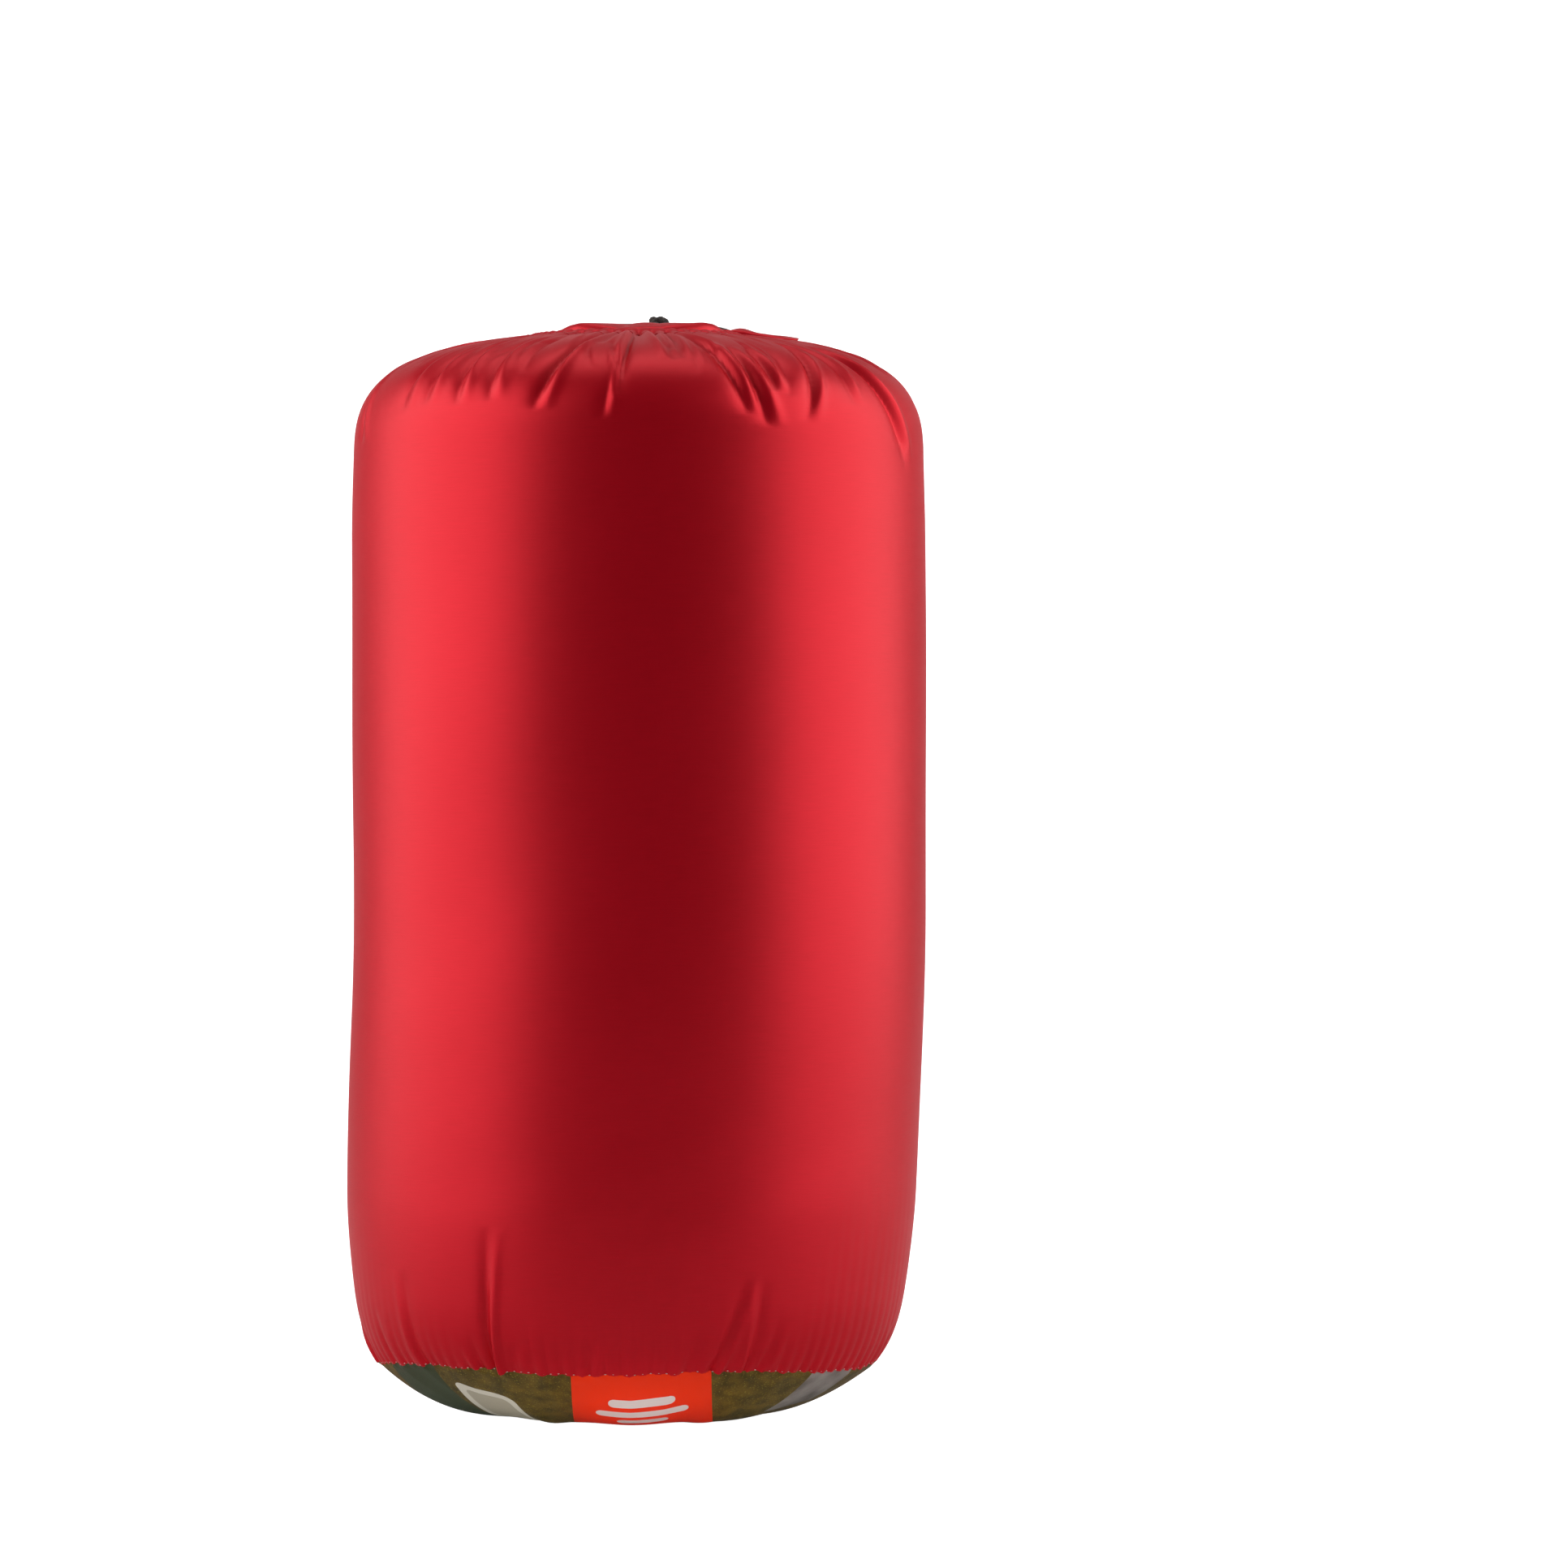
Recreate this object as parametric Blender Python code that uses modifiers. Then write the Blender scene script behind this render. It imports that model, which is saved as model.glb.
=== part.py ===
"""A rectangular sleeping bag, folded in half, rolled and packed upright in its drawcord stuff sack.

Metres, +Z up. The origin is the centre of the base's flat face, and -Y is the side shown to the front.
The bag's quilt is three plies (shell, batt, liner) folded lengthwise and rolled from the foot to the head.
"""

import math

import bmesh
import bpy
from mathutils import Matrix, Vector

MM = 0.001
GAP = 0.3 * MM

# Stuff sack: a tube with a rounded shoulder, closed below by a shallow round base panel
SACK_RADIUS = 113.5 * MM
SEAM_RADIUS = 100 * MM
SEAM_HEIGHT = 22.6 * MM
FLAT_RADIUS = 44 * MM
BASE_CURVE = 2.2
SHOULDER_START = 383 * MM
SHOULDER_RISE = 49 * MM
SHOULDER_POWER = 2.8
SACK_FABRIC = 0.8 * MM
SACK_STEPS = 28

# Mouth: the hem is folded in around the drawcord, and gathered to this ring
HEM_RING = 41.6 * MM
HEM_HEIGHT = 428.9 * MM
HEM_RADIUS = 3.15 * MM
CORD_RADIUS = 1.75 * MM

# Storm flap inside the mouth, with a crest at the front and one corner folded over the gathers
FLAP_RADIUS = 37.9 * MM
FLAP_LEVEL = 430.5 * MM
FLAP_CREST = 3.3 * MM
TONGUE_LENGTH = 26 * MM
TONGUE_AZIMUTH = -5

# Folded and rolled bag
ROLL_TURNS = 5
STATIONS_PER_TURN = 12
ROLL_CORE = 8 * MM
ROLL_PITCH = 17.6 * MM
ROLL_RADIUS = 107.2 * MM
ROLL_TOP = 423 * MM
ROLL_TOP_DROP = 44 * MM
ROLL_FLOOR = 1.8 * MM
ROLL_FLOOR_RISE = 47 * MM
FABRIC = 0.5 * MM
PLY_GAP = 0.35 * MM
FOLD_DROP = 12 * MM
TIE_HEIGHTS = {"roll_tie_lower": 120 * MM, "roll_tie_upper": 310 * MM}

# Side zip along the two free edges; near the head end it lies open, and the slider runs there
ZIP_STAND = 9.3 * MM
ZIP_RUN_RADIUS = 104.2 * MM
ZIP_RUN_START = 4.8
ZIP_CLOSED_GAP = 0.15 * MM
ZIP_OPEN_GAP = 1.75 * MM
COIL_WIDTH = 2.7 * MM
COIL_HEIGHT = 2.5 * MM
TAPE_WIDTH = 0.65 * MM
TAPE_HEIGHT = 9 * MM
SLIDER_TURN = 4.83
SLIDER_LENGTH = 17 * MM
PULL_HEIGHT = 4.2 * MM
PULL_LENGTH = 17 * MM

# Cord lock on the back shoulder; its local Y is the way it slides, along the two cord ends
LOCK_PLACE = Vector((0, 62, 434.4)) * MM
LOCK_SLOPE = math.radians(11)
SLOT_HALF_HEIGHT = 2.1 * MM
SLOT_HALF_WIDTH = 4.1 * MM
BARREL_RADIUS = 5.25 * MM
BARREL_ENDS = (-14.5 * MM, 8 * MM)
BORE_RADIUS = 3.8 * MM
BORE_START = -13 * MM
BUTTON_RADIUS = 3.5 * MM
BUTTON_ENDS = (-5.5 * MM, 14 * MM)
BUTTON_TRAVEL = 4.5 * MM
SPRING_RADIUS = 2.7 * MM
SPRING_WIRE = 0.3 * MM
SPRING_TURNS = 5

KNOT_PLACE = Vector((7.5, 12, 435.9)) * MM
KNOT_SIZE = Vector((4.3, 4.3, 4.2)) * MM

# Drawcord's free ends, from the channel, through the lock, round on the shoulder and back to the knot
TAIL_LEFT = (
    (-11.0, 40.1, 428.9), (-7.4, 41.2, 429.1), (-4.4, 43.6, 430.0), (-2.6, 47.2, 431.9), (-2.0, 51.4, 434.3),
    (-2.0, 56.2, 435.6), (-2.0, 66.0, 433.6), (-2.0, 76.0, 431.7), (-2.0, 83.0, 429.9), (-5.4, 89.3, 426.1),
    (-13.0, 92.3, 423.1), (-23.0, 89.2, 423.4), (-32.0, 80.5, 425.3), (-37.5, 68.0, 427.9), (-38.0, 55.0, 430.4),
    (-33.5, 44.0, 432.5), (-28.0, 34.5, 434.4), (-27.0, 23.0, 433.4), (-25.0, 9.0, 432.8), (-17.0, -3.0, 432.8),
    (-5.0, -6.5, 432.8), (3.5, -1.0, 433.3), (6.6, 7.3, 434.9),
)
TAIL_RIGHT = (
    (11.0, 40.1, 428.9), (7.4, 41.2, 429.1), (4.4, 43.6, 430.0), (2.6, 47.2, 431.9), (2.0, 51.4, 434.3),
    (2.0, 56.2, 435.6), (2.0, 66.0, 433.6), (2.0, 76.0, 431.7), (2.0, 83.0, 429.9), (6.0, 89.3, 425.9),
    (15.0, 92.4, 422.7), (28.0, 89.0, 422.6), (42.0, 81.0, 423.1), (53.0, 69.0, 424.7), (57.0, 55.5, 427.4),
    (51.0, 43.5, 430.2), (40.5, 36.5, 432.2), (32.0, 31.5, 434.4), (28.4, 22.5, 433.4), (28.8, 12.0, 432.8),
    (26.6, 2.6, 432.8), (19.8, -2.8, 432.8), (12.6, 0.0, 433.2), (10.4, 7.2, 434.7),
)


def clear_scene():
    for obj in list(bpy.data.objects):
        bpy.data.objects.remove(obj, do_unlink=True)


def new_collection(name):
    collection = bpy.data.collections.new(name)
    bpy.context.scene.collection.children.link(collection)
    return collection


def new_material(name, colour, roughness, metallic=0.0):
    material = bpy.data.materials.new(name)
    material.use_nodes = True
    shader = material.node_tree.nodes["Principled BSDF"]
    shader.inputs["Base Color"].default_value = (*colour, 1)
    shader.inputs["Roughness"].default_value = roughness
    shader.inputs["Metallic"].default_value = metallic
    return material


def add_object(name, data, material=None, parent=None, location=(0, 0, 0)):
    obj = bpy.data.objects.new(name, data)
    obj.location = location
    obj.parent = parent
    if material is None:
        cutters.objects.link(obj)
        obj.hide_render = True
        obj.display_type = "WIRE"
    else:
        parts.objects.link(obj)
        data.materials.append(material)
    return obj


def finished_mesh(name, mesh_builder, smooth=True):
    """The mesh held by a bmesh, with its faces turned out."""
    bmesh.ops.recalc_face_normals(mesh_builder, faces=mesh_builder.faces)
    mesh = bpy.data.meshes.new(name)
    mesh_builder.to_mesh(mesh)
    mesh_builder.free()
    if smooth:
        mesh.shade_smooth()
        mesh.set_sharp_from_angle(angle=math.radians(40))
    return mesh


def turned_sheet(name, profile, thickness, material):
    """Fabric turned about the Z axis; the profile of (radius, height) runs down its outer face."""
    mesh = bpy.data.meshes.new(name)
    edges = [(i, i + 1) for i in range(len(profile) - 1)]
    mesh.from_pydata([(radius, 0, height) for radius, height in profile], edges, [])
    obj = add_object(name, mesh, material)
    screw = obj.modifiers.new("turn", "SCREW")
    screw.steps = screw.render_steps = SACK_STEPS
    screw.use_merge_vertices = True
    screw.merge_threshold = 1e-5
    screw.use_smooth_shade = True
    solidify = obj.modifiers.new("thickness", "SOLIDIFY")
    solidify.thickness = thickness
    solidify.offset = -1
    solidify.use_even_offset = True
    return obj


def loft(name, sections, material):
    """One closed solid through sections that have the same number of points."""
    builder = bmesh.new()
    rings = [[builder.verts.new(point) for point in section] for section in sections]
    count = len(rings[0])
    for ring, following in zip(rings, rings[1:]):
        for i in range(count):
            j = (i + 1) % count
            # The two long sides of a section run opposite ways, so their diagonals do too and stay nested.
            split = (ring[i], following[j]) if i < count // 2 else (ring[j], following[i])
            corners = (ring[i], ring[j], following[j], following[i])
            for other in corners:
                if other not in split:
                    builder.faces.new((split[0], split[1], other))
    builder.faces.new(rings[0])
    builder.faces.new(rings[-1])
    return add_object(name, finished_mesh(name, builder), material)


def cylinder_mesh(name, radius, start, end, sides=20):
    """A cylinder along X, from start to end."""
    builder = bmesh.new()
    bmesh.ops.create_cone(
        builder, cap_ends=True, segments=sides, radius1=radius, radius2=radius, depth=end - start
    )
    bmesh.ops.rotate(builder, verts=builder.verts, matrix=Matrix.Rotation(math.pi / 2, 3, "Y"))
    bmesh.ops.translate(builder, verts=builder.verts, vec=((start + end) / 2, 0, 0))
    return finished_mesh(name, builder)


def box_mesh(name, low, high):
    builder = bmesh.new()
    low, high = Vector(low), Vector(high)
    bmesh.ops.create_cube(builder, size=1)
    bmesh.ops.scale(builder, verts=builder.verts, vec=high - low)
    bmesh.ops.translate(builder, verts=builder.verts, vec=(low + high) / 2)
    return finished_mesh(name, builder, smooth=False)


def prism_mesh(name, outline, start, end):
    """An outline of (x, z) extruded along Y."""
    builder = bmesh.new()
    face = builder.faces.new([builder.verts.new((x, start, z)) for x, z in outline])
    extruded = bmesh.ops.extrude_face_region(builder, geom=[face])["geom"]
    moved = [item for item in extruded if isinstance(item, bmesh.types.BMVert)]
    bmesh.ops.translate(builder, verts=moved, vec=(0, end - start, 0))
    return finished_mesh(name, builder, smooth=False)


def boolean(target, other, operation):
    modifier = target.modifiers.new(other.name, "BOOLEAN")
    modifier.operation = operation
    modifier.object = other


def tube(name, points, radius, material, parent=None, resolution=2):
    curve = bpy.data.curves.new(name, "CURVE")
    curve.dimensions = "3D"
    curve.bevel_depth = radius
    curve.bevel_resolution = resolution
    curve.use_fill_caps = True
    spline = curve.splines.new("POLY")
    spline.points.add(len(points) - 1)
    for point, place in zip(spline.points, points):
        point.co = (*place, 1)
    return add_object(name, curve, material, parent)


def smooth_route(points, per_span=2):
    """Points along a smooth curve through the route's own points."""
    places = [Vector(point) * MM for point in points]
    padded = [2 * places[0] - places[1], *places, 2 * places[-1] - places[-2]]
    route = []
    for before, start, end, after in zip(padded, padded[1:], padded[2:], padded[3:]):
        for step in range(per_span):
            t = step / per_span
            route.append(
                start
                + (end - before) * t / 2
                + (2 * before - 5 * start + 4 * end - after) * t**2 / 2
                + (3 * start - before - 3 * end + after) * t**3 / 2
            )
    return [*route, places[-1]]


def on_circle(radius, azimuth, height):
    return Vector((radius * math.cos(azimuth), radius * math.sin(azimuth), height))


def smooth_step(low, high, value):
    t = min(max((value - low) / (high - low), 0), 1)
    return t * t * (3 - 2 * t)


# Stuff sack


def wall_radius(height):
    """The tube draws in towards the base seam, quickly at the seam and slightly above it."""
    above = height - SEAM_HEIGHT
    return SACK_RADIUS - 10 * MM * math.exp(-above / (14 * MM)) - 3.5 * MM * math.exp(-above / (60 * MM))


def shoulder_height(radius):
    flatness = 1 - min(radius / SACK_RADIUS, 1) ** SHOULDER_POWER
    return SHOULDER_START + SHOULDER_RISE * flatness ** (1 / SHOULDER_POWER)


def base_height(radius):
    reach = max(radius - FLAT_RADIUS, 0) / (SEAM_RADIUS - FLAT_RADIUS)
    return SEAM_HEIGHT * reach**BASE_CURVE


def tube_profile():
    """From the hem's tucked edge, around the drawcord, over the shoulder and down the wall to the base seam."""
    profile = []
    for step in range(9):
        angle = math.radians(298 - 220 * step / 8)
        profile.append((HEM_RING + HEM_RADIUS * math.cos(angle), HEM_HEIGHT + HEM_RADIUS * math.sin(angle)))
    for radius in (49, 62, 76, 88, 97, 104, 109, 112.4):
        profile.append((radius * MM, shoulder_height(radius * MM)))
    steps = 9
    foot = SEAM_HEIGHT + GAP
    for step in range(steps + 1):
        height = foot + (SHOULDER_START - 6 * MM - foot) * (1 - step / steps) ** 2.3
        profile.append((wall_radius(height), height))
    return profile


def make_sack():
    tube_part = turned_sheet("sack_tube", tube_profile(), SACK_FABRIC, sack_fabric)
    buttonhole = add_object(
        "buttonhole", box_mesh("buttonhole", (-7.6 * MM, 41.2 * MM, 427.2 * MM), (7.6 * MM, 53 * MM, 437 * MM))
    )
    boolean(tube_part, buttonhole, "DIFFERENCE")

    radii = [SEAM_RADIUS, 94 * MM, 86 * MM, 76 * MM, 64 * MM, FLAT_RADIUS, 0]
    profile = [(radius, base_height(radius)) for radius in radii]
    profile[0] = (SEAM_RADIUS, SEAM_HEIGHT - GAP)
    turned_sheet("base_panel", profile, SACK_FABRIC, base_fabric)


def flap_height(x, y):
    """Top face of the storm flap: level behind, a crest in front, and a tongue over the hem."""
    radius = math.hypot(x, y)
    azimuth = math.degrees(math.atan2(y, x))
    across = smooth_step(-26 * MM, -12 * MM, x) * (1 - smooth_step(20 * MM, 34 * MM, x))
    crest = FLAP_CREST * math.exp(-(((y + 24 * MM) / (9 * MM)) ** 2)) * across
    over_hem = 3 * MM * math.exp(-(((radius - HEM_RING) / (6 * MM)) ** 2))
    tongue = shoulder_height(radius) + 1.7 * MM + over_hem
    share = smooth_step(30 * MM, 36 * MM, radius) * math.exp(-(((azimuth - TONGUE_AZIMUTH) / 24) ** 2))
    return (FLAP_LEVEL + crest) * (1 - share) + tongue * share


def make_storm_flap():
    """Rings of a disc inside the mouth, then three more that only the tongue stretches out."""
    spokes, inner_rings, outer_rings = 30, 4, 3
    builder = bmesh.new()
    centre = builder.verts.new((0, 0, flap_height(0, 0)))
    grid = []
    for spoke in range(spokes):
        turn = 360 * spoke / spokes - 180
        reach = GAP + TONGUE_LENGTH * math.exp(-((turn / 10) ** 2))
        radii = [FLAP_RADIUS * ring / inner_rings for ring in range(1, inner_rings + 1)]
        radii += [FLAP_RADIUS + reach * ring / outer_rings for ring in range(1, outer_rings + 1)]
        places = [on_circle(radius, math.radians(turn + TONGUE_AZIMUTH), 0) for radius in radii]
        grid.append([builder.verts.new((place.x, place.y, flap_height(place.x, place.y))) for place in places])
    for line, following in zip(grid, grid[1:] + grid[:1]):
        builder.faces.new((centre, line[0], following[0]))
        for ring in range(inner_rings + outer_rings - 1):
            builder.faces.new((line[ring], line[ring + 1], following[ring + 1], following[ring]))
    mesh = bpy.data.meshes.new("storm_flap")
    builder.to_mesh(mesh)
    builder.free()
    mesh.shade_smooth()
    obj = add_object("storm_flap", mesh, sack_fabric)
    solidify = obj.modifiers.new("thickness", "SOLIDIFY")
    solidify.thickness = SACK_FABRIC
    solidify.offset = -1


# Drawcord, its lock and its knot


def make_drawcord():
    start = math.atan2(TAIL_LEFT[0][1], TAIL_LEFT[0][0])
    tail_gap = 1.5 * GAP / HEM_RING
    sweep = 2 * math.pi - 2 * (start - math.pi / 2) - 2 * tail_gap
    ring = [on_circle(HEM_RING, start + tail_gap + sweep * step / 32, HEM_HEIGHT) for step in range(33)]
    tube("drawcord_ring", ring, CORD_RADIUS, cord_braid)
    tube("drawcord_tail_left", smooth_route(TAIL_LEFT), CORD_RADIUS, cord_braid)
    tube("drawcord_tail_right", smooth_route(TAIL_RIGHT), CORD_RADIUS, cord_braid)


def make_knot():
    builder = bmesh.new()
    bmesh.ops.create_uvsphere(builder, u_segments=14, v_segments=8, radius=1)
    bmesh.ops.scale(builder, verts=builder.verts, vec=KNOT_SIZE)
    add_object("cord_end_knot", finished_mesh("cord_end_knot", builder), cord_braid, location=KNOT_PLACE)


def make_cord_lock():
    lock = bpy.data.objects.new("cord_lock_place", None)
    parts.objects.link(lock)
    lock.location = LOCK_PLACE
    lock.rotation_euler.x = -LOCK_SLOPE

    barrel = add_object(
        "cord_lock_barrel", cylinder_mesh("cord_lock_barrel", BARREL_RADIUS, *BARREL_ENDS), lock_plastic, lock
    )
    bore = add_object(
        "barrel_bore", cylinder_mesh("barrel_bore", BORE_RADIUS, BORE_START, BARREL_ENDS[1] + MM), parent=lock
    )
    boolean(barrel, bore, "DIFFERENCE")
    through = 2 * BARREL_RADIUS
    barrel_slot = box_mesh(
        "barrel_slot",
        (-SLOT_HALF_WIDTH, -through, -SLOT_HALF_HEIGHT),
        (SLOT_HALF_WIDTH, through, SLOT_HALF_HEIGHT),
    )
    boolean(barrel, add_object("barrel_slot", barrel_slot, parent=lock), "DIFFERENCE")

    button = add_object(
        "cord_lock_button", cylinder_mesh("cord_lock_button", BUTTON_RADIUS, *BUTTON_ENDS), lock_plastic, lock
    )
    button_slot = box_mesh(
        "button_slot",
        (-SLOT_HALF_WIDTH, -through, -SLOT_HALF_HEIGHT),
        (SLOT_HALF_WIDTH + BUTTON_TRAVEL, through, SLOT_HALF_HEIGHT),
    )
    boolean(button, add_object("button_slot", button_slot, parent=lock), "DIFFERENCE")

    start = BORE_START + SPRING_WIRE + GAP
    length = BUTTON_ENDS[0] - SPRING_WIRE - GAP - start
    coil = []
    for step in range(SPRING_TURNS * 10 + 1):
        share = step / (SPRING_TURNS * 10)
        turn = on_circle(SPRING_RADIUS, 2 * math.pi * SPRING_TURNS * share, 0)
        coil.append((start + length * share, turn.x, turn.y))
    tube("cord_lock_spring", coil, SPRING_WIRE, spring_steel, lock, resolution=1)


# Folded and rolled bag


def roll_inner(turn):
    return ROLL_CORE + ROLL_PITCH * turn


def roll_outer(turn):
    return min(roll_inner(turn + 1) - PLY_GAP, ROLL_RADIUS)


def layer_thickness(turn):
    """Each turn holds four layers of quilt with a gap between each two."""
    return (roll_outer(turn) - roll_inner(turn) - 3 * PLY_GAP) / 4


def roll_top(turn):
    return ROLL_TOP - ROLL_TOP_DROP * (roll_outer(turn) / ROLL_RADIUS) ** 9


def roll_floor(radius):
    return ROLL_FLOOR + ROLL_FLOOR_RISE * (radius / ROLL_RADIUS) ** 5


def ply_line(turn, depth):
    """A line through the folded quilt's section, this far in from its shell: (radius, height) points.

    From outside in, the four layers are the two faces of one half of the bag, then those of the other half.
    They join in two nested folds below and one above, and end above in the two zipped edges.
    """
    layer = layer_thickness(turn)
    step = layer + PLY_GAP
    outer, inner = roll_outer(turn), roll_inner(turn)
    floor_slope = (roll_floor(inner) - roll_floor(outer)) / (outer - inner)
    edge = roll_top(turn) - ZIP_STAND
    fold = roll_top(turn) - FOLD_DROP - depth
    first, second, third, fourth = depth, step + layer - depth, 2 * step + depth, 3 * step + layer - depth

    def floor(inset, lift):
        return (inset, roll_floor(outer) + floor_slope * inset + lift)

    line = [
        (first, edge), floor(first, depth), floor(fourth, depth), (fourth, fold),
        (third, fold), floor(third, second), floor(second, second), (second, edge),
    ]
    return [(outer - inset, height) for inset, height in line]


def ply_depths(turn):
    layer = layer_thickness(turn)
    return {
        "outer_shell": (0, FABRIC),
        "insulation_batt": (FABRIC + PLY_GAP, layer - FABRIC - PLY_GAP),
        "liner": (layer - FABRIC, layer),
    }


def make_quilt():
    plies = {"outer_shell": shell_fabric, "insulation_batt": batt_fibre, "liner": liner_fabric}
    count = ROLL_TURNS * STATIONS_PER_TURN
    for name, material in plies.items():
        sections = []
        for station in range(count + 1):
            turn = station / STATIONS_PER_TURN
            near, far = ply_depths(turn)[name]
            section = ply_line(turn, near) + ply_line(turn, far)[::-1]
            sections.append([on_circle(r, 2 * math.pi * turn, z) for r, z in section])
        loft(name, sections, material)


def make_roll_ties():
    for name, height in TIE_HEIGHTS.items():
        band = ROLL_RADIUS + 2.2 * MM
        turned_sheet(name, [(band, height + 9 * MM), (band, height - 9 * MM)], 0.8 * MM, elastic_webbing)


# Zip and the small parts at the head end


def zip_turns():
    """Where the zip's sections stand: wide along the roll, close where the slider runs."""
    count = round(ZIP_RUN_START * STATIONS_PER_TURN)
    wide = [station / STATIONS_PER_TURN for station in range(count)]
    opening = 5 * MM / (2 * math.pi * ZIP_RUN_RADIUS)
    fine = [SLIDER_TURN + (ROLL_TURNS - SLIDER_TURN) * step / 10 for step in range(11)]
    return [*wide, ZIP_RUN_START, SLIDER_TURN - opening, *fine]


def zip_centre(turn):
    if turn >= ZIP_RUN_START:
        return ZIP_RUN_RADIUS
    return roll_outer(turn) - layer_thickness(turn) - PLY_GAP / 2


def make_zip_half(name, side):
    """A coil on the top edge of its tape; side is +1 on the outer quilt and -1 on the inner one."""
    sections = []
    for turn in zip_turns():
        inner = ZIP_OPEN_GAP if turn >= SLIDER_TURN else ZIP_CLOSED_GAP
        outer = inner + COIL_WIDTH
        tape = outer - TAPE_WIDTH
        top = roll_top(turn)
        section = [
            (inner, top), (outer, top), (outer, top - TAPE_HEIGHT),
            (tape, top - TAPE_HEIGHT), (tape, top - COIL_HEIGHT), (inner, top - COIL_HEIGHT),
        ]
        centre = zip_centre(turn)
        sections.append([on_circle(centre + side * r, 2 * math.pi * turn, z) for r, z in section])
    loft(name, sections, zip_black)


def make_zip_slider():
    """The slider's parent stands on the roll's axis, where the slider turns; its heights are from the coil's top."""
    run = bpy.data.objects.new("zip_slider_axis", None)
    parts.objects.link(run)
    run.location.z = roll_top(SLIDER_TURN)
    run.rotation_euler.z = 2 * math.pi * SLIDER_TURN
    chain = (ZIP_RUN_RADIUS, 0, 0)
    half = SLIDER_LENGTH / 2

    cover = [(-6.4, -3.2), (-6.4, 2.1), (6.4, 2.1), (6.4, -3.2), (5.4, -3.2), (5.4, 0.7), (-5.4, 0.7), (-5.4, -3.2)]
    wedge = [(-0.8, 1.2), (0.8, 1.2), (0.8, -3.3), (1.6, -3.3), (1.6, -4.5), (-1.6, -4.5), (-1.6, -3.3), (-0.8, -3.3)]
    cover = [(x * MM, z * MM) for x, z in cover]
    wedge = [(x * MM, z * MM) for x, z in wedge]
    slider = add_object("zip_slider", prism_mesh("zip_slider", cover, -half, half), zip_metal, run, chain)
    shapes = {
        "slider_wedge": prism_mesh("slider_wedge", wedge, 0.8 * MM, half - 1.5 * MM),
        "slider_lug_outer": box_mesh("lug", (2.3 * MM, -1.7 * MM, 1.7 * MM), (3.5 * MM, 1.7 * MM, 5.8 * MM)),
        "slider_lug_inner": box_mesh("lug", (-3.5 * MM, -1.7 * MM, 1.7 * MM), (-2.3 * MM, 1.7 * MM, 5.8 * MM)),
    }
    for name, mesh in shapes.items():
        boolean(slider, add_object(name, mesh, parent=run, location=chain), "UNION")
    pin_place = (ZIP_RUN_RADIUS, 0, PULL_HEIGHT)
    pin = cylinder_mesh("slider_pin", 0.7 * MM, -3 * MM, 3 * MM, 12)
    boolean(slider, add_object("slider_pin", pin, parent=run, location=pin_place), "UNION")

    eye = cylinder_mesh("zip_pull_tab", 1.7 * MM, -1.95 * MM, 1.95 * MM, 16)
    pull = add_object("zip_pull_tab", eye, zip_metal, run, pin_place)
    arm = box_mesh("pull_arm", (-1.95 * MM, -PULL_LENGTH, -0.55 * MM), (1.95 * MM, -1.2 * MM, 0.55 * MM))
    boolean(pull, add_object("pull_arm", arm, parent=run, location=pin_place), "UNION")
    hole = cylinder_mesh("pull_hole", 1.05 * MM, -3 * MM, 3 * MM, 16)
    boolean(pull, add_object("pull_hole", hole, parent=run, location=pin_place), "DIFFERENCE")


def make_head_end_tabs():
    """Flat pieces past the quilt's end face: (middle radius, thickness, length, heights) of each."""
    tabs = {
        "loop_tab": (105.6, 1.0, 25, (330, 356), loop_pile),
        "hook_tab": (103.9, 1.0, 25, (330, 356), hook_plastic),
        "care_label": (100.6, 0.5, 22, (90, 128), label_cloth),
    }
    for name, (radius, thickness, length, heights, material) in tabs.items():
        low = (radius - thickness / 2, -length / 2, heights[0])
        high = (radius + thickness / 2, length / 2, heights[1])
        mesh = box_mesh(name, Vector(low) * MM, Vector(high) * MM)
        obj = add_object(name, mesh, material)
        obj.rotation_euler.z = (length / 2 + 1.2) / radius


clear_scene()
parts = new_collection("sleeping_bag")
cutters = new_collection("cutters")

sack_fabric = new_material("sack_taffeta", (0.58, 0.014, 0.025), 0.38)
base_fabric = new_material("printed_base", (0.10, 0.10, 0.02), 0.45)
cord_braid = new_material("cord_braid", (0.03, 0.02, 0.018), 0.85)
lock_plastic = new_material("lock_plastic", (0.02, 0.02, 0.02), 0.4)
spring_steel = new_material("spring_steel", (0.6, 0.6, 0.6), 0.3, 1)
shell_fabric = new_material("bag_shell", (0.5, 0.02, 0.03), 0.5)
batt_fibre = new_material("batt_fibre", (0.85, 0.85, 0.83), 0.95)
liner_fabric = new_material("bag_liner", (0.12, 0.12, 0.13), 0.7)
zip_black = new_material("zip_nylon", (0.02, 0.02, 0.02), 0.5)
zip_metal = new_material("zip_metal", (0.35, 0.35, 0.36), 0.35, 1)
hook_plastic = new_material("hook_plastic", (0.02, 0.02, 0.02), 0.6)
loop_pile = new_material("loop_pile", (0.03, 0.03, 0.03), 0.95)
elastic_webbing = new_material("elastic_webbing", (0.03, 0.03, 0.03), 0.8)
label_cloth = new_material("label_cloth", (0.8, 0.8, 0.78), 0.7)

make_sack()
make_storm_flap()
make_drawcord()
make_knot()
make_cord_lock()
make_quilt()
make_roll_ties()
make_zip_half("zip_half_outer", 1)
make_zip_half("zip_half_inner", -1)
make_zip_slider()
make_head_end_tabs()
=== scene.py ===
"""Looks of a rectangular sleeping bag rolled into its drawcord stuff sack.

Metres, +Z up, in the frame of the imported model; -Y is the front. Azimuths are in degrees from the front,
positive towards +X. Fabric shapes are worked out in millimetres, as distances along the sack's outline.
"""

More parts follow.
